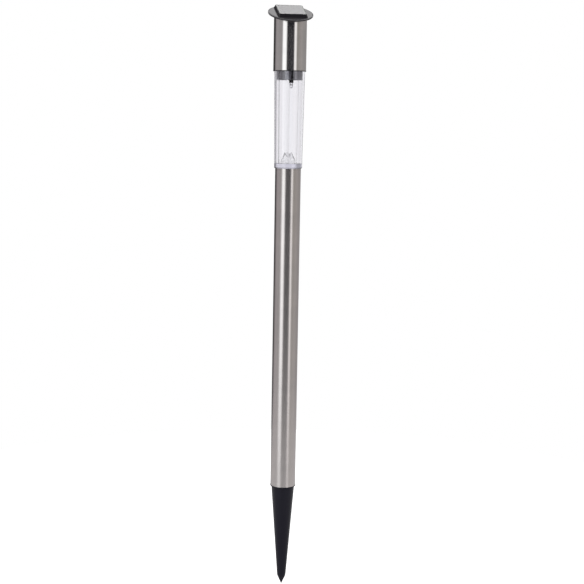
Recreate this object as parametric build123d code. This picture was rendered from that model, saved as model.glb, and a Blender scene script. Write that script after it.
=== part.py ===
"""Solar garden stake light: spike, steel pole, clear lens and a steel head with a sloping solar cap.

Millimetres, +Z up.  The origin is on the axis, at the underside of the spike's flange, which is
where the light meets the ground.  The solar panel slopes down towards -Y.
"""
from build123d import *
import os
from math import cos, pi, radians, sin, tan

# ---- Driving dimensions ------------------------------------------------------------------------
POLE_OD = 38.0              # standard stainless tube
HEAD_OD = 48.0
SHEET = 0.6                 # wall of both steel tubes
FIT_GAP = 0.05              # radial gap of the push-fit spike
LOOSE_GAP = 0.3             # radial gap of the plastic slip joints

FLANGE_D, FLANGE_T = 38.8, 1.0
SPIKE_TOP_D, SPIKE_LOW_D = 35.0, 13.0
SPIKE_TAPER_L, SPIKE_POINT_L = 144.0, 14.0
SPIKE_SPIGOT_L, SPIKE_SPIGOT_WALL = 35.0, 2.6

POLE_TOP = 483.5            # heights above the flange's underside
LENS_FLOOR = 490.5
COLLAR_LOW = 612.0
HEAD_LOW = 625.6
LENS_RIM = 636.0
CAP_Z = 706.4               # where the cap's underside crosses the axis
SLOPE_ANGLE = 22.0

LENS_LOW_D, LENS_TOP_D = 41.0, 45.0
BORE_LOW_D, BORE_TOP_D = 36.2, 39.4
LENS_FLOOR_T = 7.0
LENS_SPIGOT_L, LENS_SPIGOT_WALL = 22.0, 1.9

COLLAR_D, COLLAR_T = 38.3, 1.35
COLLAR_FLANGE_D, COLLAR_FLANGE_T = 44.6, 1.4
FINGER_COUNT, FINGER_SLIT, FINGER_L = 6, 2.4, 15.0
GASKET_D, GASKET_BORE, GASKET_T = 44.2, 41.0, 1.0

DISC_D, DISC_T = 66.0, 2.3
DISC_EDGE_W, DISC_EDGE_DROP, DISC_ROUND = 1.6, 0.7, 0.3
BEZEL_BASE, BEZEL_TOP, BEZEL_H = 44.0, 40.0, 4.8
BEZEL_BASE_ROUND, BEZEL_TOP_ROUND = 2.4, 1.4
SKIRT_T, SKIRT_LOW = 1.7, 688.0

PANEL_SIDE = 38.0
PANEL_WINDOW = 33.0
PANEL_LEDGE = 3.9           # height of the panel's seat above the cap's underside
SEAL_T, PANEL_BOARD_T, CELL_T, GLASS_T = 0.4, 1.2, 0.3, 1.2

BATTERY_D, BATTERY_L, BATTERY_Y = 14.5, 50.5, 9.0    # AA cell
LED_D, LED_RIM_D, LED_L, LED_X = 5.0, 5.6, 8.7, 2.7  # 5 mm round lamp, a little off the axis
LED_TIP = 600.2
LEAD_PITCH, LEAD_SIDE = 2.54, 0.5
SWITCH_X, SWITCH_TRAVEL, SWITCH_H = -8.0, 3.0, 3.8

SCREW_D, SCREW_HEAD_D, SCREW_HEAD_H, SCREW_L = 2.2, 4.4, 1.6, 10.0
SCREW_GAP, SCREW_HEAD_GAP = 0.03, 0.2
WIRE_D = 1.2

# ---- Worked-out places -------------------------------------------------------------------------
POLE_ID = POLE_OD - 2 * SHEET
HEAD_ID = HEAD_OD - 2 * SHEET
INSERT_D = HEAD_ID - 2 * LOOSE_GAP      # plastic parts that slip into the head tube
COLLAR_ID = COLLAR_D - 2 * COLLAR_T
GASKET_LOW = LENS_RIM + COLLAR_FLANGE_T

BASE_FLANGE_LOW, BASE_FLANGE_T = GASKET_LOW + GASKET_T, 2.4
BASE_FLANGE_TOP = BASE_FLANGE_LOW + BASE_FLANGE_T
BASE_LOW, BASE_PLATE_T = COLLAR_LOW + 1.4, 1.8
BASE_FLOOR = BASE_LOW + BASE_PLATE_T
BASE_D, BASE_WALL = COLLAR_ID - 0.7, 1.6
BOARD_LOW, BOARD_T, BOARD_D = BASE_FLOOR + SWITCH_H, 1.2, 31.0
BOARD_TOP = BOARD_LOW + BOARD_T

DECK_LOW, DECK_T = BASE_FLANGE_TOP + 1.2, 2.4
DECK_TOP = DECK_LOW + DECK_T
SPRING_H, PLATE_T, CLIP_LID_T = 4.0, 0.5, 2.1
BATTERY_LOW = DECK_TOP + SPRING_H
BATTERY_TOP = BATTERY_LOW + BATTERY_L
CLIP_LID_LOW = BATTERY_TOP + PLATE_T
CLIP_TOP = CLIP_LID_LOW + CLIP_LID_T
LED_BASE = LED_TIP + LED_L

BOSS_D, BOSS_R = 6.0, 20.3
BOSS_ANGLES = (30, 150, 270)
POST_X, POST_Y = 18.2, -6.0

PANEL_BOARD_LOW = PANEL_LEDGE + SEAL_T
CELL_LOW = PANEL_BOARD_LOW + PANEL_BOARD_T
GLASS_LOW = CELL_LOW + CELL_T
CAP_TOP = DISC_T + BEZEL_H

OVERRUN = 1.0               # how far a cut runs past the face it opens
STOCK_TOP = CAP_Z + 40.0    # upright parts start this tall and are cut off along the slope
STOCK_REACH = 140.0
SLOPE = Plane(
    origin=(0, 0, CAP_Z),
    x_dir=(1, 0, 0),
    z_dir=(0, -sin(radians(SLOPE_ANGLE)), cos(radians(SLOPE_ANGLE))),
)
ON_BASE = (Align.CENTER, Align.CENTER, Align.MIN)


# ---- Helpers -----------------------------------------------------------------------------------
def rod(diameter, low, high, x=0.0, y=0.0):
    """A round bar along Z between two heights."""
    return Pos(x, y, low) * Cylinder(diameter / 2, high - low, align=ON_BASE)


def tube(outer, inner, low, high):
    """A round tube along Z between two heights."""
    return rod(outer, low, high) - rod(inner, low - OVERRUN, high + OVERRUN)


def block(size_x, size_y, low, high, x=0.0, y=0.0):
    """A box between two heights, centred on x, y."""
    return Pos(x, y, low) * Box(size_x, size_y, high - low, align=ON_BASE)


def turned(points, rounds):
    """A solid of revolution about Z; rounds lists (radius, z, fillet) corners to round off."""
    face = make_face(Polyline([(r, 0, z) for r, z in points], close=True))
    for r, z, fillet_radius in rounds:
        corner = min(face.vertices(), key=lambda v: (v.X - r) ** 2 + (v.Z - z) ** 2)
        face = face.face().fillet_2d(fillet_radius, [corner])
    return revolve(face, Axis.Z, 360)


def round_edges(part):
    """The part's circular edges, lowest first."""
    return part.edges().filter_by(GeomType.CIRCLE).sort_by(Axis.Z)


def around(angles, radius):
    """Places at the given angles on a circle, each turned to face outwards."""
    return [Rot(0, 0, a) * Pos(radius, 0, 0) for a in angles]


def above_slope(height=0.0):
    """Everything above a plane parallel to the cap's underside."""
    return SLOPE * Pos(0, 0, height) * Box(STOCK_REACH, STOCK_REACH, STOCK_REACH, align=ON_BASE)


def square_bar(side, corner, low, high):
    """A rounded square bar standing on the cap's sloping plane."""
    return SLOPE * Pos(0, 0, low) * extrude(RectangleRounded(side, side, corner), amount=high - low)


def screw(low):
    """A pan-head screw that points up, with the crossed slot of its head at height low."""
    slot_l, slot_w, slot_depth = 2.6, 0.7, 0.7
    head = rod(SCREW_HEAD_D, low, low + SCREW_HEAD_H)
    head -= block(slot_l, slot_w, low, low + slot_depth)
    head -= block(slot_w, slot_l, low, low + slot_depth)
    return head + rod(SCREW_D, low + SCREW_HEAD_H, low + SCREW_HEAD_H + SCREW_L)


def screw_hole(low):
    """The counterbored hole for a screw whose head starts at height low."""
    head_d, shank_d = SCREW_HEAD_D + 2 * SCREW_HEAD_GAP, SCREW_D + 2 * SCREW_GAP
    head = rod(head_d, low - OVERRUN, low + SCREW_HEAD_H)
    return head + rod(shank_d, low, low + SCREW_HEAD_H + SCREW_L + OVERRUN)


def wire(points):
    """An insulated wire: straight runs joined by arcs as large as the runs allow."""
    run_share = 0.45
    spots = [Vector(*p) for p in points]
    radii = []
    for before, here, after in zip(spots, spots[1:], spots[2:]):
        turn = radians((here - before).get_angle(after - here))
        shorter = min((here - before).length, (after - here).length)
        radii.append(run_share * shorter / tan(turn / 2))
    path = FilletPolyline(*spots, radius=radii)
    start = Plane(origin=path @ 0, z_dir=path % 0)
    return sweep(start * Circle(WIRE_D / 2), path=path)


# ---- Ground spike and pole ---------------------------------------------------------------------
def ground_spike():
    """Moulded spike with a flange and a hollow, ribbed spigot that pushes into the pole."""
    point_r, point_round = SPIKE_LOW_D / 2, 14.0
    spigot_r = POLE_ID / 2 - FIT_GAP
    bore_r = spigot_r - SPIKE_SPIGOT_WALL
    top, floor = FLANGE_T + SPIKE_SPIGOT_L, 6.0
    lead_in, lead_in_h = 1.0, 1.5
    rib_t, rib_top = 2.0, top - 3.0
    outline = [
        (0, -SPIKE_TAPER_L - SPIKE_POINT_L),
        (point_r, -SPIKE_TAPER_L),
        (SPIKE_TOP_D / 2, 0),
        (FLANGE_D / 2, 0),
        (FLANGE_D / 2, FLANGE_T),
        (spigot_r, FLANGE_T),
        (spigot_r, top - lead_in_h),
        (spigot_r - lead_in, top),
        (bore_r, top),
        (bore_r, floor),
        (0, floor),
    ]
    body = turned(outline, [(point_r, -SPIKE_TAPER_L, point_round)])
    rib = block(2 * (bore_r + SPIKE_SPIGOT_WALL / 2), rib_t, floor - OVERRUN, rib_top)
    return body + rib + Rot(0, 0, 90) * rib


def pole_tube():
    return tube(POLE_OD, POLE_ID, FLANGE_T, POLE_TOP)


# ---- Lens --------------------------------------------------------------------------------------
def lens():
    """Clear tapered tube with a floor, and a spigot that slips into the pole."""
    spigot_r = POLE_ID / 2 - LOOSE_GAP
    spigot_low = POLE_TOP - LENS_SPIGOT_L
    straight_low = HEAD_LOW - 2.0
    outline = [
        (0, LENS_FLOOR),
        (BORE_LOW_D / 2, LENS_FLOOR),
        (BORE_TOP_D / 2, LENS_RIM),
        (LENS_TOP_D / 2, LENS_RIM),
        (LENS_TOP_D / 2, straight_low),
        (LENS_LOW_D / 2, POLE_TOP),
        (spigot_r, POLE_TOP),
        (spigot_r, spigot_low),
        (spigot_r - LENS_SPIGOT_WALL, spigot_low),
        (spigot_r - LENS_SPIGOT_WALL, LENS_FLOOR - LENS_FLOOR_T),
        (0, LENS_FLOOR - LENS_FLOOR_T),
    ]
    rounds = [
        (BORE_LOW_D / 2, LENS_FLOOR, 0.4),
        (LENS_LOW_D / 2, POLE_TOP, 1.0),
        (LENS_TOP_D / 2, LENS_RIM, 0.8),
        (spigot_r, spigot_low, 0.7),
    ]
    return turned(outline, rounds)


def faceted_mound(tiers, foot, apex):
    """A ten-sided mound of flat triangles.

    Each tier is a ring of points (radius, height, how far every other point drops), turned half a
    step from the tier below.  An apex lower than the last tier leaves a crater.
    """
    sides = 10
    rings = []
    for level, (radius, height, drop) in enumerate(tiers):
        ring = []
        for i in range(sides):
            angle = 2 * pi * (i + 0.5 * level) / sides
            ring.append(Vector(radius * cos(angle), radius * sin(angle), height - drop * (i % 2)))
        rings.append(ring)
    floor = [Vector(p.X, p.Y, foot) for p in rings[0]]
    faces = [Face(Wire.make_polygon(floor, close=True))]
    for i in range(sides):
        j = (i + 1) % sides
        faces.append(Face(Wire.make_polygon([floor[i], floor[j], rings[0][j], rings[0][i]], close=True)))
        for low, high in zip(rings, rings[1:]):
            faces.append(Face(Wire.make_polygon([low[i], low[j], high[i]], close=True)))
            faces.append(Face(Wire.make_polygon([low[j], high[j], high[i]], close=True)))
        last = rings[-1]
        faces.append(Face(Wire.make_polygon([last[i], last[j], Vector(0, 0, apex)], close=True)))
    return Solid(Shell(faces))


def light_deflector():
    """Diamond-cut crown, hollow below, with a crater that throws the lamp's light sideways."""
    crown = faceted_mound([(11.4, 1.0, 0.0), (9.6, 7.0, 0.0), (5.2, 16.5, 3.4)], 0, 7.6)
    hollow = faceted_mound([(10.2, 0.4, 0.0), (8.2, 4.6, 0.0)], -OVERRUN, 5.4)
    return Pos(0, 0, LENS_FLOOR) * (crown - hollow)


# ---- Collar between lens and head --------------------------------------------------------------
def lens_collar():
    """Flanged ring slit into spring fingers; it sits in the lens and turns with the head."""
    slit_depth, key_w, key_depth, key_low = 8.0, 4.0, 3.0, LENS_RIM - 0.2
    body = tube(COLLAR_D, COLLAR_ID, COLLAR_LOW, GASKET_LOW)
    body += tube(COLLAR_FLANGE_D, COLLAR_ID, LENS_RIM, GASKET_LOW)
    slit = block(slit_depth, FINGER_SLIT, COLLAR_LOW - OVERRUN, COLLAR_LOW + FINGER_L)
    slit_angles = [360 * i / FINGER_COUNT - 90 for i in range(FINGER_COUNT)]
    for place in around(slit_angles, COLLAR_D / 2):
        body -= place * slit
    key_way = block(key_depth, key_w, key_low, GASKET_LOW + OVERRUN)
    for place in around(BOSS_ANGLES, COLLAR_ID / 2 + 1.0):
        body -= place * key_way
    return body


def collar_gasket():
    return tube(GASKET_D, GASKET_BORE, GASKET_LOW, BASE_FLANGE_LOW)


# ---- Head casing -------------------------------------------------------------------------------
def head_tube():
    """Steel sleeve, cut off square below and along the slope above."""
    return tube(HEAD_OD, HEAD_ID, HEAD_LOW, STOCK_TOP) - above_slope()


def edge_trim():
    """Thin plastic ring over the sleeve's lower edge, which guides the lens."""
    lip_d, lip_t, sleeve_l, overlap = HEAD_OD + 0.3, 1.2, 8.0, 0.5
    bore = LENS_TOP_D + 0.7
    lip = tube(lip_d, bore, HEAD_LOW - lip_t, HEAD_LOW)
    return lip + tube(HEAD_ID, bore, HEAD_LOW - overlap, HEAD_LOW + sleeve_l)


def solar_cap():
    """Round sloping disc with a raised square bezel, a skirt and two long screw posts."""
    skirt_d = HEAD_ID - 0.2
    seat_side, seat_round, window_round = PANEL_SIDE + 0.4, 1.0, 1.5
    disc = Cylinder(DISC_D / 2, DISC_T, align=ON_BASE)
    disc = chamfer(round_edges(disc)[-1], DISC_EDGE_DROP, DISC_EDGE_W)
    disc = fillet(round_edges(disc), DISC_ROUND)
    root_side = BEZEL_BASE + (BEZEL_BASE - BEZEL_TOP) * (DISC_T / 2) / BEZEL_H
    bezel = loft([
        Pos(0, 0, DISC_T / 2) * RectangleRounded(root_side, root_side, BEZEL_BASE_ROUND),
        Pos(0, 0, CAP_TOP) * RectangleRounded(BEZEL_TOP, BEZEL_TOP, BEZEL_TOP_ROUND),
    ])
    body = SLOPE * (disc + bezel)
    body += tube(skirt_d, skirt_d - 2 * SKIRT_T, SKIRT_LOW, STOCK_TOP) - above_slope(DISC_T / 2)
    for side in (-1, 1):
        body += rod(BOSS_D, DECK_TOP, STOCK_TOP, side * POST_X, POST_Y) - above_slope(DISC_T / 2)
    body -= square_bar(PANEL_WINDOW, window_round, -OVERRUN, CAP_TOP + OVERRUN)
    body -= square_bar(seat_side, seat_round, PANEL_LEDGE, CAP_TOP + OVERRUN)
    for side in (-1, 1):
        body -= Pos(side * POST_X, POST_Y, 0) * screw_hole(DECK_LOW)
    return body


# ---- Solar panel -------------------------------------------------------------------------------
PANEL_ROUND = 0.8


def panel_seal():
    bore, bore_round = PANEL_WINDOW + 0.6, 1.5
    ring = square_bar(PANEL_SIDE, PANEL_ROUND, PANEL_LEDGE, PANEL_BOARD_LOW)
    return ring - square_bar(bore, bore_round, PANEL_LEDGE - OVERRUN, PANEL_BOARD_LOW + OVERRUN)


def panel_board():
    return square_bar(PANEL_SIDE, PANEL_ROUND, PANEL_BOARD_LOW, CELL_LOW)


def solar_cells():
    """Four silicon strips side by side."""
    count, gap, length = 4, 0.5, 35.4
    width = (length - (count - 1) * gap) / count
    strips = []
    for i in range(count):
        offset = (i - (count - 1) / 2) * (width + gap)
        strips.append(SLOPE * Pos(offset, 0, CELL_LOW) * Box(width, length, CELL_T, align=ON_BASE))
    return Compound(children=strips)


def panel_glass():
    return square_bar(PANEL_SIDE, PANEL_ROUND, GLASS_LOW, GLASS_LOW + GLASS_T)


# ---- Battery and its holder --------------------------------------------------------------------
def battery_holder():
    """Round deck with screw bosses and an upright clip that holds one cell."""
    clip_d, clip_bore = BATTERY_D + 4.7, BATTERY_D + 0.7
    mouth_w, mouth_depth, boss_top = 13.2, 18.0, DECK_TOP + 8.0
    opening_x, opening_y, opening_at = 17.0, 7.0, -12.0     # for the wires
    body = rod(INSERT_D, DECK_LOW, DECK_TOP)
    body += rod(clip_d, DECK_TOP, CLIP_TOP, 0, BATTERY_Y)
    body -= rod(clip_bore, DECK_TOP, CLIP_LID_LOW, 0, BATTERY_Y)
    body -= block(mouth_w, mouth_depth, DECK_TOP, CLIP_LID_LOW, 0, BATTERY_Y - mouth_depth / 2)
    for place in around(BOSS_ANGLES, BOSS_R):
        body += place * rod(BOSS_D, BASE_FLANGE_TOP, boss_top)
        body -= place * screw_hole(BASE_FLANGE_LOW)
    for side in (-1, 1):
        body -= Pos(side * POST_X, POST_Y, 0) * screw_hole(DECK_LOW)
    return body - block(opening_x, opening_y, DECK_LOW - OVERRUN, DECK_TOP + OVERRUN, 0, opening_at)


def battery():
    """AA cell, positive end up."""
    nub_d, nub_h, nub_root, can_round = 5.4, 1.1, 2.0, 0.6
    can = rod(BATTERY_D, BATTERY_LOW, BATTERY_TOP - nub_h, 0, BATTERY_Y)
    can = fillet(round_edges(can), can_round)
    return can + rod(nub_d, BATTERY_TOP - nub_h - nub_root, BATTERY_TOP, 0, BATTERY_Y)


def battery_spring():
    """Coil under the cell, on the negative plate."""
    spring_wire_d, turns, coil_r = 0.7, 2.5, 3.6
    rise = SPRING_H - PLATE_T - spring_wire_d
    helix = Helix(pitch=rise / turns, height=rise, radius=coil_r)
    coil = sweep(Plane(origin=helix @ 0, z_dir=helix % 0) * Circle(spring_wire_d / 2), path=helix)
    return Pos(0, BATTERY_Y, DECK_TOP + PLATE_T + spring_wire_d / 2) * coil


def contact_plate(low, strip_x, strip_end_y):
    """Round contact on the cell's axis with a strip along -Y for the wire."""
    seat_d, strip_w = 10.0, 3.0
    seat = rod(seat_d, low, low + PLATE_T, 0, BATTERY_Y)
    length, middle = BATTERY_Y - strip_end_y, (BATTERY_Y + strip_end_y) / 2
    return seat + block(strip_w, length, low, low + PLATE_T, strip_x, middle)


MINUS_X, MINUS_END_Y = -4.5, -10.5
PLUS_X, PLUS_END_Y = 2.0, -3.0


def negative_plate():
    """Seat under the spring, reaching to the wire opening."""
    return contact_plate(DECK_TOP, MINUS_X, MINUS_END_Y)


def positive_plate():
    """Contact above the cell, reaching out of the clip's open side."""
    return contact_plate(BATTERY_TOP, PLUS_X, PLUS_END_Y)


# ---- Lamp base, switch and electronics ---------------------------------------------------------
HOLDER_D = 6.4


def lamp_base():
    """Cup that plugs into the collar and carries the lamp, the board and the switch."""
    cup_round, pillar_d, pillar_r, pillar_angles = 0.8, 3.6, 12.4, (90, 210, 330)
    key_l, key_w, key_lift = 2.0, 3.2, 0.2
    knob_hole = (SWITCH_TRAVEL + 3.8, 2.4)
    cup = rod(BASE_D, BASE_LOW, BASE_FLANGE_TOP)
    cup = fillet(round_edges(cup)[0], cup_round)
    body = cup + rod(INSERT_D, BASE_FLANGE_LOW, BASE_FLANGE_TOP)
    body -= rod(BASE_D - 2 * BASE_WALL, BASE_FLOOR, BASE_FLANGE_TOP + OVERRUN)
    for place in around(pillar_angles, pillar_r):
        body += place * rod(pillar_d, BASE_FLOOR, BOARD_LOW)
    key = block(key_l, key_w, LENS_RIM + key_lift, BASE_FLANGE_LOW)
    for place in around(BOSS_ANGLES, BASE_D / 2 + 0.7):
        body += place * key
    for place in around(BOSS_ANGLES, BOSS_R):
        body -= place * screw_hole(BASE_FLANGE_LOW)
    body -= rod(HOLDER_D + 0.2, BASE_LOW - OVERRUN, BASE_FLOOR + OVERRUN, LED_X)
    return body - block(*knob_hole, BASE_LOW - OVERRUN, BASE_FLOOR + OVERRUN, SWITCH_X)


def led_holder():
    """Short black barrel that keeps the lamp upright under the base."""
    seat_d, bore_d, lip_d, lip_t, grip = 5.8, 4.4, 8.6, 1.2, 0.8
    low = LED_BASE - grip
    body = rod(HOLDER_D, low, BASE_FLOOR, LED_X)
    body += rod(lip_d, BASE_FLOOR, BASE_FLOOR + lip_t, LED_X)
    body -= rod(seat_d, low - OVERRUN, LED_BASE, LED_X)
    return body - rod(bore_d, low, BASE_FLOOR + lip_t + OVERRUN, LED_X)


def led():
    """Clear 5 mm lamp, dome down, with its rim at the top."""
    rim_h = 1.0
    barrel = rod(LED_D, LED_TIP + LED_D / 2, LED_BASE, LED_X)
    dome = Pos(LED_X, 0, LED_TIP + LED_D / 2) * Sphere(LED_D / 2)
    return barrel + dome + rod(LED_RIM_D, LED_BASE - rim_h, LED_BASE, LED_X)


LEAD_PLACES = (LED_X - LEAD_PITCH / 2, LED_X + LEAD_PITCH / 2)


def led_leads():
    """The lamp's two legs, up through the board."""
    stub = 1.0
    legs = [block(LEAD_SIDE, LEAD_SIDE, LED_BASE, BOARD_TOP + stub, x) for x in LEAD_PLACES]
    return Compound(children=legs)


def circuit_board():
    lead_hole_d = 0.9
    body = rod(BOARD_D, BOARD_LOW, BOARD_TOP)
    for x in LEAD_PLACES:
        body -= rod(lead_hole_d, BOARD_LOW - OVERRUN, BOARD_TOP + OVERRUN, x)
    return body


def driver_chip():
    length, width, height, bevel = 4.4, 3.4, 1.6, 0.3
    body = block(length, width, BOARD_TOP, BOARD_TOP + height, 4.0, 7.0)
    return chamfer(body.edges().group_by(Axis.Z)[-1], bevel)


def choke_coil():
    """Axial choke lying on the board."""
    core_r, core_l, core_round = 1.6, 7.4, 0.6
    core = Rot(0, 90, 0) * Cylinder(core_r, core_l)
    core = fillet(core.edges().filter_by(GeomType.CIRCLE), core_round)
    return Pos(4.0, -6.0, BOARD_TOP + core_r) * core


def capacitor():
    can_d, can_h, can_round = 5.0, 7.0, 0.5
    can = rod(can_d, BOARD_TOP, BOARD_TOP + can_h, -7.0, 7.0)
    return fillet(round_edges(can)[-1], can_round)


def switch_body():
    """Case between the base's floor and the board, with a slot for the knob."""
    case_l, case_w, slot_l, slot_w, slot_h = 8.6, 4.4, SWITCH_TRAVEL + 3.6, 2.0, 1.8
    body = block(case_l, case_w, BASE_FLOOR, BOARD_LOW, SWITCH_X)
    return body - block(slot_l, slot_w, BASE_FLOOR - OVERRUN, BASE_FLOOR + slot_h, SWITCH_X)


def switch_slider():
    """Knob that sticks out of the base and slides along X."""
    knob_l, knob_w, knob_root = 3.0, 1.4, 1.6
    low = COLLAR_LOW - 0.1
    return block(knob_l, knob_w, low, BASE_FLOOR + knob_root, SWITCH_X - SWITCH_TRAVEL / 2)


# ---- Fasteners and wiring ----------------------------------------------------------------------
def base_screws():
    return Compound(children=[place * screw(BASE_FLANGE_LOW) for place in around(BOSS_ANGLES, BOSS_R)])


def cap_screws():
    return Compound(children=[Pos(side * POST_X, POST_Y, 0) * screw(DECK_LOW) for side in (-1, 1)])


def panel_wires():
    """Two wires from the back of the panel down to the board."""
    start = SLOPE.from_local_coords(Vector(0, -9, PANEL_BOARD_LOW))
    start_gap = 0.3
    wires = []
    for side in (-1, 1):
        x = 1.6 * side
        wires.append(wire([
            (x, start.Y, start.Z - start_gap),
            (x, start.Y, 692),
            (x * 1.7, -12.8, 668),
            (x * 1.3, -11.6, 647),
            (x, -10.2, 633),
            (x, -10.2, BOARD_TOP),
        ]))
    return Compound(children=wires)


def battery_wires():
    """One wire from each battery contact down to the board."""
    plus_y, minus_y = PLUS_END_Y + 1.2, MINUS_END_Y + 0.9
    plus = wire([
        (PLUS_X, plus_y, BATTERY_TOP),
        (PLUS_X, plus_y, 690),
        (5.0, -8.0, 670),
        (6.2, -11.0, 650),
        (5.4, -9.4, 633),
        (5.4, -9.4, BOARD_TOP),
    ])
    minus = wire([
        (MINUS_X, minus_y, DECK_TOP),
        (MINUS_X, minus_y, 638),
        (-5.2, -8.8, 629),
        (-5.2, -8.8, BOARD_TOP),
    ])
    return Compound(children=[plus, minus])


NODES = [
    ground_spike, pole_tube, lens, light_deflector, lens_collar, collar_gasket, head_tube, edge_trim,
    solar_cap, panel_seal, panel_board, solar_cells, panel_glass, battery_holder, battery,
    battery_spring, negative_plate, positive_plate, lamp_base, led_holder, led, led_leads,
    circuit_board, driver_chip, choke_coil, capacitor, switch_body, switch_slider, base_screws,
    cap_screws, panel_wires, battery_wires,
]

os.makedirs("parts", exist_ok=True)
for make_node in NODES:
    export_step(make_node(), f"parts/{make_node.__name__}.step")
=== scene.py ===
"""Looks of the solar garden light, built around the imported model.  Metres, +Z up."""

from math import cos, pi, radians, sin

import bmesh
import bpy
from mathutils import Matrix, Vector


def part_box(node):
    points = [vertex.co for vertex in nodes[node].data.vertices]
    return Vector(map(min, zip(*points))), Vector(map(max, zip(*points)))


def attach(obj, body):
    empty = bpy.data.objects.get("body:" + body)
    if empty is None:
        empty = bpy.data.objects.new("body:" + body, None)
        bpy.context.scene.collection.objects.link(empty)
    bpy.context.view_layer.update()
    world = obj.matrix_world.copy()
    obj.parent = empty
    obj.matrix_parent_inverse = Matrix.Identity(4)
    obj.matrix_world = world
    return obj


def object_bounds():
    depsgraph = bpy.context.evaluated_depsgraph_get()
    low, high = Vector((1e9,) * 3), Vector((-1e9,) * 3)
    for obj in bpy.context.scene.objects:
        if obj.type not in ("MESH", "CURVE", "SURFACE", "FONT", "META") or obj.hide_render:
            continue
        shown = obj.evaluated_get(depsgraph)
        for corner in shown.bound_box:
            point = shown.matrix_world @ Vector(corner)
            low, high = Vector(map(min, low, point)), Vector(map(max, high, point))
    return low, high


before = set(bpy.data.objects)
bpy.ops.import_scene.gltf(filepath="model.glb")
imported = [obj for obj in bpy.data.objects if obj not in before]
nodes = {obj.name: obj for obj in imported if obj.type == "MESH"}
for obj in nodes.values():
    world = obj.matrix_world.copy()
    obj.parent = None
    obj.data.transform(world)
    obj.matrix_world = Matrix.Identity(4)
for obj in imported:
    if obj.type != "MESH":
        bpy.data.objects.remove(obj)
cad_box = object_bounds()

# ---- Patterns in the materials -----------------------------------------------------------------
NOISE_LOW, NOISE_HIGH = 0.3, 0.7   # most of a noise's values lie between these
SLOPE_ANGLE = radians(22)          # of the cap and its panel
FINGER_PITCH = 0.0016              # between the solar cells' printed lines
WAVE_PERIOD = 2 * pi / 20          # of Blender's wave texture at a scale of one
PARTING_BEARING = radians(-55)     # square to the plane of the lens's two parting lines
PARTING_WIDTH, PARTING_HEIGHT = 0.0006, 0.00017
LENS_TINT, LENS_DENSITY = (0.900, 0.897, 0.928, 1), 100.0
PATCH_SIZE = 0.0042                # of the darker-edged patches on the deflector

# ---- Lead frame inside the clear lamp, and its solder ------------------------------------------
LEG_OFFSET = 0.00127               # from the lamp's axis to each leg
LEG_HALF = 0.00025                 # half of a leg's thickness
LEG_INSET = 0.00005                # from the lamp's flat base to the end of a leg inside it
CUP_MOUTH, CUP_TOP = 0.0040, 0.0054    # heights of the chip's cup above the lamp's tip
CUP_DEPTH = 0.0006                 # of its hollow, which opens downwards
CUP_BACK_R, CUP_LIP_R = 0.00075, 0.00115
CUP_MOUTH_R, CUP_FLOOR_R = 0.00100, 0.00055
CUP_LEG_BELOW = 0.0006             # how far the cup's leg reaches down beside it
BRIDGE_BELOW, BRIDGE_ABOVE = 0.0004, 0.0006    # the bar from that leg to the cup, at CUP_TOP
POST_BELOW = 0.0002                # how far the other leg reaches past the cup's mouth
CHIP_HALF, CHIP_THICKNESS = 0.0003, 0.0002
CHIP_BEVEL = 0.00002
BOND_SAG, BOND_RADIUS = 0.0004, 0.00002
# Outline of the solder round a leg, as (radius, height above the board).
SOLDER_CONE = [
    (0, 0), (0.00085, 0), (0.00070, 0.00010), (0.00045, 0.00035), (0.00036, 0.00075),
    (0, 0.00080),
]

# ---- Camera ------------------------------------------------------------------------------------
VIEW_AZIMUTH = radians(-10.8)      # the camera stands a little to the left of the panel's front
VIEW_PITCH = radians(8.4)          # looking down
VIEW_ROLL = radians(1.0)           # the light leans a little to the right in the picture
VIEW_YAW = radians(0.27)           # and stands left of the middle
VIEW_DISTANCE = 1.919
EYE_HEIGHT = 0.582
LENS_MM, SENSOR_MM = 79.8, 36.0
CLIP_NEAR, CLIP_FAR = 0.05, 60

# ---- Studio ------------------------------------------------------------------------------------
FLOOR_RADIUS = 0.95                # a round pale table that the spike's point stands on
FLOOR_GAP = 0.0005                 # between the point and the table
FLOOR_SIDES = 96
FLOOR_GLOW = 0.23                  # the table's own light on the object
OVERHEAD = 1.7                     # soft box above
OVERHEAD_EDGE = (0.50, 0.60)       # the soft box begins here, as the sine of the height
# Brightness round the light by bearing in degrees: 180 is the camera's side, 270 its right hand.
ROOM = [
    (0, (0.05, 0.05, 0.05)), (50, (0.05, 0.05, 0.05)), (62, (0.36, 0.34, 0.35)),
    (76, (0.43, 0.41, 0.42)), (112, (0.37, 0.36, 0.36)), (123, (0.40, 0.39, 0.39)),
    (131, (1.47, 1.52, 1.54)), (152, (1.47, 1.52, 1.52)), (161, (0.022, 0.022, 0.026)),
    (207, (0.026, 0.026, 0.031)), (214, (1.27, 1.26, 1.25)), (223, (1.27, 1.26, 1.25)),
    (232, (0.32, 0.31, 0.28)), (268, (0.44, 0.415, 0.405)), (290, (0.39, 0.38, 0.37)),
    (336, (0.35, 0.34, 0.34)), (360, (0.10, 0.10, 0.10)),
]
ROOM_SCALE = 2.0                   # a ramp holds up to one, so the room is stored at a half
LENS_SHIFT = 16                    # degrees that the room stands turned as seen through the lens
THROUGH_LENS = 0.45                # brightness of the room's sides seen through the lens
BACKDROP_TURN = radians(12)        # the white seen through the lens reaches further to the right
# Where the backdrop's parts meet, as the cosine of the angle to its middle: (from, to).
SIDEWAYS_EDGE = (0.15, 0.40)       # from white straight sideways to the grey beside it
BACKDROP_EDGE = (0.70, 0.86)       # from that grey to the white ahead
CAMERA_SIDE_EDGE = (-0.2, 0.1)     # from the room on the camera's side to the grey
LENS_BOUNCES, MOST_BOUNCES = 16, 20


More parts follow.
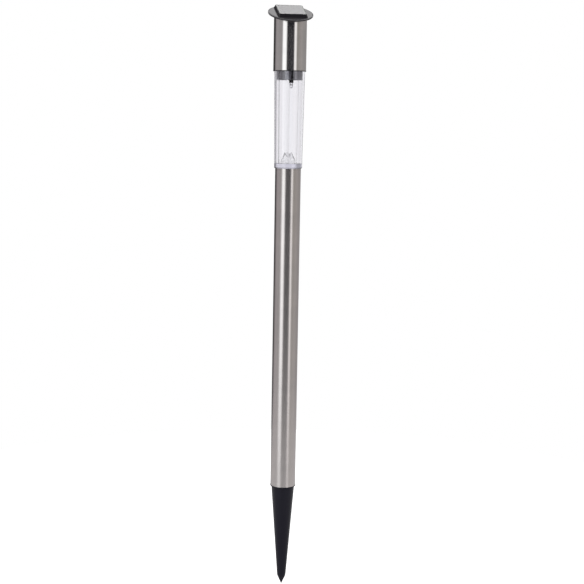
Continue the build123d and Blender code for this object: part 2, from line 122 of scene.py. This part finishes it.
# ---- Node helpers ------------------------------------------------------------------------------
class Finish:
    """One procedural material: a Principled shader and the nodes that feed it.

    Settings are constants of the shader's own sockets, with underscores for spaces.
    """

    def __init__(self, name, **settings):
        self.material = bpy.data.materials.new(name)
        self.material.use_nodes = True
        self.tree = self.material.node_tree
        self.shader = self.tree.nodes["Principled BSDF"]
        self.place = self.node("ShaderNodeTexCoord").outputs["Object"]
        for key, value in settings.items():
            self.shader.inputs[key.replace("_", " ")].default_value = value

    def node(self, kind, **settings):
        """A new node with these settings."""
        made = self.tree.nodes.new(kind)
        for key, value in settings.items():
            setattr(made, key, value)
        return made

    def link(self, source, target):
        self.tree.links.new(source, target)

    def noise(self, scale, stretch=(1, 1, 1), detail=3.0, roughness=0.55):
        """Noise with the given number of cells per metre, times stretch along each axis."""
        mapping = self.node("ShaderNodeMapping")
        mapping.inputs["Scale"].default_value = stretch
        self.link(self.place, mapping.inputs["Vector"])
        made = self.node("ShaderNodeTexNoise")
        made.inputs["Scale"].default_value = scale
        made.inputs["Detail"].default_value = detail
        made.inputs["Roughness"].default_value = roughness
        self.link(mapping.outputs["Vector"], made.inputs["Vector"])
        return made.outputs["Fac"]

    def ramp(self, source, *stops):
        """A colour ramp through (position, colour) stops."""
        made = self.node("ShaderNodeValToRGB")
        elements = made.color_ramp.elements
        while len(elements) < len(stops):
            elements.new(0.5)
        for element, (position, colour) in zip(elements, stops):
            element.position = position
            element.color = (*colour, 1)
        self.link(source, made.inputs["Fac"])
        return made.outputs["Color"]

    def spread(self, source, low, high):
        """The middle range of a noise mapped to low..high."""
        made = self.node("ShaderNodeMapRange")
        made.inputs["From Min"].default_value = NOISE_LOW
        made.inputs["From Max"].default_value = NOISE_HIGH
        made.inputs["To Min"].default_value = low
        made.inputs["To Max"].default_value = high
        self.link(source, made.inputs["Value"])
        return made.outputs["Result"]

    def colour(self, source, dark, light):
        """Base colour between two close colours."""
        shade = self.ramp(source, (NOISE_LOW, dark), (NOISE_HIGH, light))
        self.link(shade, self.shader.inputs["Base Color"])

    def roughness(self, source, low, high):
        """Roughness that varies between two values."""
        self.link(self.spread(source, low, high), self.shader.inputs["Roughness"])

    def bump(self, *layers):
        """Bump from (height source, depth in metres) layers, one on top of the other."""
        normal = None
        for height, depth in layers:
            made = self.node("ShaderNodeBump")
            made.inputs["Strength"].default_value = 1.0
            made.inputs["Distance"].default_value = depth
            self.link(height, made.inputs["Height"])
            if normal is not None:
                self.link(normal, made.inputs["Normal"])
            normal = made.outputs["Normal"]
        self.link(normal, self.shader.inputs["Normal"])


def dress(name, finish):
    """Gives a CAD node this finish in all its material slots."""
    node = nodes[name]
    if not node.material_slots:
        node.data.materials.append(finish.material)
    for slot in node.material_slots:
        slot.material = finish.material


# ---- Metals ------------------------------------------------------------------------------------
def brushed_steel(name, dark, light, rough, anisotropy):
    """Stainless sheet brushed round the tube, in two close shades of warm grey."""
    steel = Finish(name, Metallic=1.0, Anisotropic=anisotropy, Anisotropic_Rotation=0.25)
    patches = steel.noise(14, stretch=(1, 1, 3), detail=2)
    steel.colour(patches, dark, light)
    brush = steel.noise(220, stretch=(0.12, 0.12, 22), detail=5, roughness=0.7)
    steel.roughness(brush, rough - 0.015, rough + 0.015)
    steel.bump((brush, 0.000002))
    tangent = steel.node("ShaderNodeTangent", direction_type="RADIAL", axis="Z")
    steel.link(tangent.outputs["Tangent"], steel.shader.inputs["Tangent"])
    return steel


def plated(name, dark, light, rough=0.22):
    """Bright plated metal with fine handling marks."""
    metal = Finish(name, Metallic=1.0)
    marks = metal.noise(900, stretch=(1, 1, 0.3), detail=4)
    metal.colour(marks, dark, light)
    metal.roughness(marks, rough, rough + 0.14)
    metal.bump((marks, 0.00001))
    return metal


# ---- Plastics and rubber -----------------------------------------------------------------------
def moulded(name, dark, light, rough, grain=1800.0, depth=0.000015, **settings):
    """Moulded plastic: fine surface grain, slow flow marks and uneven gloss."""
    plastic = Finish(name, **settings)
    flow = plastic.noise(35, stretch=(1, 1, 0.35), detail=3)
    fine = plastic.noise(grain, detail=2)
    plastic.colour(flow, dark, light)
    plastic.roughness(flow, rough, rough + 0.1)
    plastic.bump((flow, 0.00006), (fine, depth))
    return plastic


def clear_plastic(name, tint, ior, waviness, **settings):
    """Clear moulded plastic, barely wavy, with faint flow lines along the draw."""
    clear = Finish(name, Transmission_Weight=1.0, IOR=ior, Roughness=0.01, **settings)
    flow = clear.noise(28, stretch=(1, 1, 0.08), detail=2)
    clear.colour(flow, tint, tuple(min(1.0, c + 0.01) for c in tint))
    clear.bump((flow, waviness))
    return clear


def lens_plastic():
    """The lens's clear plastic, with the mould's two fine parting lines."""
    clear = Finish("clear_plastic", Transmission_Weight=1.0, IOR=1.57, Roughness=0.01)
    inside = clear.node("ShaderNodeVolumeAbsorption")
    inside.inputs["Color"].default_value = LENS_TINT
    inside.inputs["Density"].default_value = LENS_DENSITY
    clear.link(inside.outputs["Volume"], clear.tree.nodes["Material Output"].inputs["Volume"])
    across = clear.node("ShaderNodeVectorMath", operation="DOT_PRODUCT")
    across.inputs[1].default_value = (cos(PARTING_BEARING), sin(PARTING_BEARING), 0)
    clear.link(clear.place, across.inputs[0])
    distance = clear.node("ShaderNodeMath", operation="ABSOLUTE")
    clear.link(across.outputs["Value"], distance.inputs[0])
    ridge = clear.node("ShaderNodeMapRange", interpolation_type="SMOOTHSTEP")
    ridge.inputs["From Max"].default_value = PARTING_WIDTH
    ridge.inputs["To Min"].default_value = 1.0
    ridge.inputs["To Max"].default_value = 0.0
    clear.link(distance.outputs[0], ridge.inputs["Value"])
    flow = clear.noise(28, stretch=(1, 1, 0.08), detail=2)
    clear.colour(flow, (0.975, 0.970, 0.985), (0.985, 0.980, 0.995))
    clear.bump((flow, 0.00004), (ridge.outputs["Result"], PARTING_HEIGHT))
    return clear


def deflector_plastic():
    """Clear moulded plastic, slightly darker round the edges of small patches.

    Its IOR is below real plastic's, to keep its facets as faint as they are in the photo.
    """
    clear = Finish("deflector_plastic", Transmission_Weight=1.0, IOR=1.14)
    patches = clear.node("ShaderNodeTexVoronoi", feature="F1")
    patches.inputs["Scale"].default_value = 1 / PATCH_SIZE
    clear.link(clear.place, patches.inputs["Vector"])
    tint = clear.ramp(patches.outputs["Distance"],
                      (0.15, (0.99, 0.99, 0.99)), (0.80, (0.84, 0.84, 0.85)))
    clear.link(tint, clear.shader.inputs["Base Color"])
    flow = clear.noise(300, detail=2)
    clear.roughness(flow, 0.02, 0.07)
    clear.bump((flow, 0.00002))
    return clear


def silicon():
    """Dark cells with fine silver fingers across them."""
    cell = Finish("silicon", Metallic=0.35, Coat_Weight=0.6, Coat_Roughness=0.08)
    grains = cell.noise(260, detail=2)
    blue = cell.ramp(grains,
                     (NOISE_LOW, (0.030, 0.036, 0.070)), (NOISE_HIGH, (0.050, 0.056, 0.100)))
    along = cell.node("ShaderNodeMapping")
    along.inputs["Rotation"].default_value = (-SLOPE_ANGLE, 0, 0)
    cell.link(cell.place, along.inputs["Vector"])
    lines = cell.node("ShaderNodeTexWave", bands_direction="Y")
    lines.inputs["Scale"].default_value = WAVE_PERIOD / FINGER_PITCH
    cell.link(along.outputs["Vector"], lines.inputs["Vector"])
    finger = cell.ramp(lines.outputs["Fac"], (0.90, (0, 0, 0)), (0.96, (1, 1, 1)))
    mix = cell.node("ShaderNodeMix", data_type="RGBA")
    factor, ground, silver = mix.inputs[0], mix.inputs[6], mix.inputs[7]
    mixed_colour = mix.outputs[2]
    cell.link(finger, factor)
    cell.link(blue, ground)
    silver.default_value = (0.55, 0.55, 0.56, 1)
    cell.link(mixed_colour, cell.shader.inputs["Base Color"])
    cell.roughness(grains, 0.25, 0.35)
    return cell


def cell_wrap():
    """Shrink sleeve of the battery: green, with a dark band at the positive end."""
    wrap = Finish("battery_wrap")
    low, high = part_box("battery")
    parts = wrap.node("ShaderNodeSeparateXYZ")
    wrap.link(wrap.place, parts.inputs["Vector"])
    height = wrap.node("ShaderNodeMapRange")
    height.inputs["From Min"].default_value = low.z
    height.inputs["From Max"].default_value = high.z
    wrap.link(parts.outputs["Z"], height.inputs["Value"])
    band = wrap.ramp(height.outputs["Result"],
                     (0.80, (0.06, 0.26, 0.13)), (0.805, (0.03, 0.03, 0.03)))
    wrap.link(band, wrap.shader.inputs["Base Color"])
    print_grain = wrap.noise(500, detail=2)
    wrap.roughness(print_grain, 0.22, 0.34)
    wrap.bump((print_grain, 0.00001))
    return wrap


def dress_all(contact):
    """A finish for every CAD node; contact is the plated metal of the electrical parts."""
    head_steel = brushed_steel("head_steel", (0.63, 0.607, 0.600), (0.68, 0.653, 0.645),
                               rough=0.19, anisotropy=0.93)
    pole_steel = brushed_steel("pole_steel", (0.62, 0.585, 0.577), (0.67, 0.628, 0.618),
                               rough=0.30, anisotropy=0.77)
    black = moulded("black_plastic", (0.018, 0.018, 0.020), (0.028, 0.028, 0.030), 0.42)
    rubber = moulded("rubber", (0.016, 0.016, 0.016), (0.03, 0.03, 0.03), 0.75, grain=900)
    laminate = moulded("board_laminate", (0.03, 0.16, 0.06), (0.05, 0.22, 0.09), 0.35)
    component = moulded("component_black", (0.02, 0.02, 0.02), (0.035, 0.035, 0.035), 0.5)
    screws = plated("screw_steel", (0.55, 0.55, 0.56), (0.70, 0.70, 0.71), rough=0.28)
    finishes = {
        "ground_spike": moulded("spike_plastic", (0.004, 0.004, 0.008), (0.008, 0.008, 0.013), 0.26,
                                grain=1200, Specular_IOR_Level=0.30,
                                Specular_Tint=(0.84, 0.82, 1.0, 1)),
        "lens": lens_plastic(),
        "light_deflector": deflector_plastic(),
        "lens_collar": moulded("collar_plastic", (0.27, 0.265, 0.295), (0.33, 0.325, 0.36), 0.12,
                               depth=0.000004, Metallic=0.35),
        "solar_cap": moulded("cap_plastic", (0.022, 0.020, 0.024), (0.032, 0.030, 0.034), 0.10,
                             depth=0.000004, Specular_IOR_Level=0.34),
        "panel_glass": clear_plastic("panel_window", (0.95, 0.94, 0.93), ior=1.58,
                                     waviness=0.00001, Coat_Weight=0.25,
                                     Specular_Tint=(1.0, 0.95, 0.94, 1)),
        "solar_cells": silicon(),
        "led_holder": moulded("holder_plastic", (0.034, 0.034, 0.038), (0.05, 0.05, 0.055), 0.4),
        "led": clear_plastic("led_epoxy", (0.96, 0.96, 0.98), ior=1.53, waviness=0.0),
        "battery": cell_wrap(),
        "choke_coil": moulded("component_green", (0.06, 0.2, 0.1), (0.1, 0.28, 0.14), 0.4),
        "switch_body": moulded("switch_case", (0.05, 0.05, 0.055), (0.08, 0.08, 0.085), 0.5),
        "switch_slider": moulded("switch_knob", (0.6, 0.6, 0.57), (0.7, 0.7, 0.68), 0.45),
        "panel_wires": moulded("wire_red", (0.35, 0.015, 0.015), (0.5, 0.03, 0.03), 0.4),
        "battery_wires": moulded("wire_black", (0.02, 0.02, 0.02), (0.03, 0.03, 0.03), 0.4),
    }
    shared = [
        (head_steel, ("head_tube",)),
        (pole_steel, ("pole_tube",)),
        (black, ("edge_trim", "battery_holder", "lamp_base")),
        (rubber, ("collar_gasket", "panel_seal")),
        (laminate, ("panel_board", "circuit_board")),
        (component, ("driver_chip", "capacitor")),
        (contact, ("battery_spring", "negative_plate", "positive_plate", "led_leads")),
        (screws, ("base_screws", "cap_screws")),
    ]
    for name, finish in finishes.items():
        dress(name, finish)
    for finish, names in shared:
        for name in names:
            dress(name, finish)


# ---- Details inside the clear lamp and on the board --------------------------------------------
def add_piece(name, mesh_parts, body, finish):
    """One object from a list of bmesh-building functions, riding on a body."""
    mesh = bpy.data.meshes.new(name)
    shape = bmesh.new()
    for build in mesh_parts:
        build(shape)
    bmesh.ops.recalc_face_normals(shape, faces=shape.faces)
    for face in shape.faces:
        face.smooth = True
    shape.to_mesh(mesh)
    shape.free()
    mesh.materials.append(finish.material)
    made = bpy.data.objects.new(name, mesh)
    bpy.context.scene.collection.objects.link(made)
    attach(made, body)


def lathe(outline, x, y, steps=32):
    """Turned solid about an upright axis at x, y; the outline's ends lie on the axis."""
    def build(shape):
        rings = []
        turns = [2 * pi * i / steps for i in range(steps)]
        for radius, height in outline:
            if radius == 0:
                rings.append([shape.verts.new((x, y, height))])
                continue
            rings.append([shape.verts.new((x + radius * cos(t), y + radius * sin(t), height))
                          for t in turns])
        for low, high in zip(rings, rings[1:]):
            for i in range(steps):
                j = (i + 1) % steps
                corners = [low[i % len(low)], low[j % len(low)],
                           high[j % len(high)], high[i % len(high)]]
                shape.faces.new(list(dict.fromkeys(corners)))
    return build


def bar(low, high, bevel=0.00006):
    """An upright box between two corners, with its edges eased."""
    def build(shape):
        made = bmesh.ops.create_cube(shape, size=1.0)
        middle = (Vector(low) + Vector(high)) / 2
        size = Vector(high) - Vector(low)
        for vert in made["verts"]:
            vert.co = middle + Vector(part * whole for part, whole in zip(vert.co, size))
        edges = list({edge for vert in made["verts"] for edge in vert.link_edges})
        bmesh.ops.bevel(shape, geom=edges, offset=bevel, segments=2, affect="EDGES")
    return build


def bowed_wire(start, end, sag, radius, steps=16, sides=8):
    """A fine round wire that bows downwards between two points."""
    def build(shape):
        start_at, end_at = Vector(start), Vector(end)
        side = (end_at - start_at).cross(Vector((0, 0, 1))).normalized()
        rings = []
        for i in range(steps + 1):
            share = i / steps
            middle = start_at.lerp(end_at, share) - Vector((0, 0, sag * 4 * share * (1 - share)))
            ring = []
            for k in range(sides):
                turn = 2 * pi * k / sides
                outward = side * cos(turn) + Vector((0, 0, sin(turn)))
                ring.append(shape.verts.new(middle + radius * outward))
            rings.append(ring)
        for low, high in zip(rings, rings[1:]):
            for k in range(sides):
                j = (k + 1) % sides
                shape.faces.new([low[k], low[j], high[j], high[k]])
        shape.faces.new(rings[0])
        shape.faces.new(rings[-1])
    return build


def lamp_details(contact):
    """The lead frame, chip and bond wire that show through the clear lamp."""
    low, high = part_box("led")
    x, y = (low.x + high.x) / 2, (low.y + high.y) / 2
    cup_mouth, cup_top = low.z + CUP_MOUTH, low.z + CUP_TOP
    cup_floor = cup_mouth + CUP_DEPTH
    cup = [
        (0, cup_top), (CUP_BACK_R, cup_top), (CUP_LIP_R, cup_mouth), (CUP_MOUTH_R, cup_mouth),
        (CUP_FLOOR_R, cup_floor), (0, cup_floor),
    ]
    legs_end = high.z - LEG_INSET
    left, right = x - LEG_OFFSET, x + LEG_OFFSET
    post_low = cup_mouth - POST_BELOW
    add_piece("led_frame", [
        lathe(cup, x, y),
        bar((left - LEG_HALF, y - LEG_HALF, cup_top - CUP_LEG_BELOW),
            (left + LEG_HALF, y + LEG_HALF, legs_end)),
        bar((left, y - LEG_HALF, cup_top - BRIDGE_BELOW),
            (x, y + LEG_HALF, cup_top + BRIDGE_ABOVE)),
        bar((right - LEG_HALF, y - LEG_HALF, post_low),
            (right + LEG_HALF, y + LEG_HALF, legs_end)),
    ], "head", contact)
    gold = plated("bond_gold", (0.80, 0.58, 0.22), (0.90, 0.68, 0.30))
    chip_face = cup_floor - CHIP_THICKNESS
    add_piece("led_bond_wire", [
        bowed_wire((x, y, chip_face), (right, y, post_low), BOND_SAG, BOND_RADIUS),
    ], "head", gold)
    yellow = moulded("led_phosphor", (0.75, 0.55, 0.10), (0.85, 0.65, 0.16), 0.5)
    add_piece("led_chip", [
        bar((x - CHIP_HALF, y - CHIP_HALF, chip_face),
            (x + CHIP_HALF, y + CHIP_HALF, cup_floor), bevel=CHIP_BEVEL),
    ], "head", yellow)


def solder_joints():
    """A small cone of solder round each leg of the lamp on the board."""
    tin = plated("solder", (0.62, 0.63, 0.65), (0.74, 0.75, 0.77), rough=0.18)
    low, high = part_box("led_leads")
    board_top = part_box("circuit_board")[1].z
    y = (low.y + high.y) / 2
    cone = [(radius, board_top + height) for radius, height in SOLDER_CONE]
    joints = [lathe(cone, x, y) for x in (low.x + LEG_HALF, high.x - LEG_HALF)]
    add_piece("solder_joints", joints, "head", tin)


# ---- Studio pieces -----------------------------------------------------------------------------
def room_colours(make, link, bearing):
    """The room's brightness by bearing, divided by ROOM_SCALE."""
    ramp = make("ShaderNodeValToRGB")
    elements = ramp.color_ramp.elements
    while len(elements) < len(ROOM):
        elements.new(0.5)
    for element, (angle, level) in zip(elements, ROOM):
        element.position = angle / 360
        element.color = (*(part / ROOM_SCALE for part in level), 1)
    link(bearing, ramp.inputs["Fac"])
    return ramp.outputs["Color"]


def floor():
    """A pale round table top that the camera sees as white and that lights from below."""
    mesh = bpy.data.meshes.new("floor")
    made = bpy.data.objects.new("floor", mesh)
    bpy.context.scene.collection.objects.link(made)
    height = cad_box[0].z - FLOOR_GAP
    turns = [2 * pi * i / FLOOR_SIDES for i in range(FLOOR_SIDES)]
    rim = [(FLOOR_RADIUS * cos(t), FLOOR_RADIUS * sin(t), height) for t in turns]
    mesh.from_pydata(rim, [], [tuple(range(FLOOR_SIDES))])
    pale = Finish("floor", Roughness=0.9, Specular_IOR_Level=0.0, Emission_Color=(1, 1, 1, 1))
    pale.colour(pale.noise(3), (0.30, 0.30, 0.30), (0.32, 0.32, 0.32))
    seen = pale.node("ShaderNodeLightPath")
    glow = pale.node("ShaderNodeMapRange")
    glow.inputs["To Min"].default_value = FLOOR_GLOW
    glow.inputs["To Max"].default_value = 1.0
    pale.link(seen.outputs["Is Camera Ray"], glow.inputs["Value"])
    pale.link(glow.outputs["Result"], pale.shader.inputs["Emission Strength"])
    mesh.materials.append(pale.material)


def studio_world():
    """Soft boxes and dark walls round the light, an overhead soft box, and a white backdrop.

    The camera sees white everywhere, and reflections see the room.  Rays that passed through a
    clear piece see a plainer backdrop, which depends on whether they were mirrored on the way.
    """
    world = bpy.data.worlds.new("studio")
    bpy.context.scene.world = world
    world.use_nodes = True
    tree = world.node_tree
    tree.nodes.clear()
    make, link = tree.nodes.new, tree.links.new

    def background(colour, strength):
        """A background shader in a fixed or a linked colour."""
        made = make("ShaderNodeBackground")
        made.inputs["Strength"].default_value = strength
        if isinstance(colour, tuple):
            made.inputs["Color"].default_value = (*colour, 1)
        else:
            link(colour, made.inputs["Color"])
        return made.outputs[0]

    def mixed(factor, first, second):
        """The first shader where the factor is 0 and the second where it is 1."""
        made = make("ShaderNodeMixShader")
        link(factor, made.inputs["Fac"])
        link(first, made.inputs[1])
        link(second, made.inputs[2])
        return made.outputs[0]

    def eased(value, low, high):
        """Rises smoothly from 0 to 1 as the value goes from low to high."""
        made = make("ShaderNodeMapRange")
        made.interpolation_type = "SMOOTHSTEP"
        made.inputs["From Min"].default_value = low
        made.inputs["From Max"].default_value = high
        link(value, made.inputs["Value"])
        return made.outputs[0]

    direction = make("ShaderNodeTexCoord")
    turn = make("ShaderNodeVectorRotate")
    turn.rotation_type = "Z_AXIS"
    turn.inputs["Angle"].default_value = pi / 2 - VIEW_AZIMUTH
    link(direction.outputs["Generated"], turn.inputs["Vector"])
    parts = make("ShaderNodeSeparateXYZ")
    link(turn.outputs["Vector"], parts.inputs["Vector"])
    bearing = make("ShaderNodeMath")
    bearing.operation = "ARCTAN2"
    link(parts.outputs["Y"], bearing.inputs[0])
    link(parts.outputs["X"], bearing.inputs[1])
    share = make("ShaderNodeMapRange")
    share.inputs["From Min"].default_value = -pi
    share.inputs["From Max"].default_value = pi
    link(bearing.outputs[0], share.inputs["Value"])
    path = make("ShaderNodeLightPath")
    lens_turn = make("ShaderNodeMath")
    lens_turn.operation = "MULTIPLY_ADD"
    lens_turn.inputs[1].default_value = -LENS_SHIFT / 360
    link(path.outputs["Is Transmission Ray"], lens_turn.inputs[0])
    link(share.outputs[0], lens_turn.inputs[2])
    room = background(room_colours(make, link, lens_turn.outputs[0]), ROOM_SCALE)
    overhead = background((1.0, 0.99, 0.99), OVERHEAD)
    lit = mixed(eased(parts.outputs["Z"], *OVERHEAD_EDGE), room, overhead)
    away = make("ShaderNodeVectorMath")
    away.operation = "DOT_PRODUCT"
    away.inputs[1].default_value = (-cos(BACKDROP_TURN), sin(BACKDROP_TURN), 0)
    link(turn.outputs["Vector"], away.inputs[0])
    facing = make("ShaderNodeMath")
    facing.operation = "ABSOLUTE"
    link(away.outputs["Value"], facing.inputs[0])
    white, grey = background((1, 1, 1), 1.0), background((1, 1, 1), THROUGH_LENS)
    # Straight through the clear plastic: white but for two grey stretches at each side.
    beside = mixed(eased(facing.outputs[0], *SIDEWAYS_EDGE), white, grey)
    clear_view = mixed(eased(facing.outputs[0], *BACKDROP_EDGE), beside, white)
    # Reflected inside it: the room on the camera's side, and white only behind.
    sides = mixed(eased(away.outputs["Value"], *CAMERA_SIDE_EDGE), lit, grey)
    mirrored_view = mixed(eased(away.outputs["Value"], *BACKDROP_EDGE), sides, white)
    behind = mixed(path.outputs["Glossy Depth"], clear_view, mirrored_view)
    through = mixed(path.outputs["Is Transmission Ray"], lit, behind)
    shown = mixed(path.outputs["Is Camera Ray"], through, background((1, 1, 1), 1.0))
    out = make("ShaderNodeOutputWorld")
    link(shown, out.inputs["Surface"])


def camera():
    """The photo's view, from a little above and to the left."""
    data = bpy.data.cameras.new("camera")
    data.lens, data.sensor_width = LENS_MM, SENSOR_MM
    data.clip_start, data.clip_end = CLIP_NEAR, CLIP_FAR
    made = bpy.data.objects.new("camera", data)
    x = VIEW_DISTANCE * sin(VIEW_AZIMUTH)
    y = -VIEW_DISTANCE * cos(VIEW_AZIMUTH)
    heading = Matrix.Rotation(VIEW_AZIMUTH - VIEW_YAW, 4, "Z")
    tilt = Matrix.Rotation(pi / 2 - VIEW_PITCH, 4, "X")
    roll = Matrix.Rotation(VIEW_ROLL, 4, "Z")
    made.matrix_world = Matrix.Translation((x, y, EYE_HEIGHT)) @ heading @ tilt @ roll
    bpy.context.scene.collection.objects.link(made)
    bpy.context.scene.camera = made


# ---- Putting it together -----------------------------------------------------------------------
contact_metal = plated("plated_contact", (0.66, 0.66, 0.65), (0.78, 0.78, 0.77))
dress_all(contact_metal)
lamp_details(contact_metal)
solder_joints()
floor()
studio_world()
camera()

scene = bpy.context.scene
scene.view_settings.view_transform = "Standard"
scene.cycles.transmission_bounces = LENS_BOUNCES
scene.cycles.max_bounces = MOST_BOUNCES
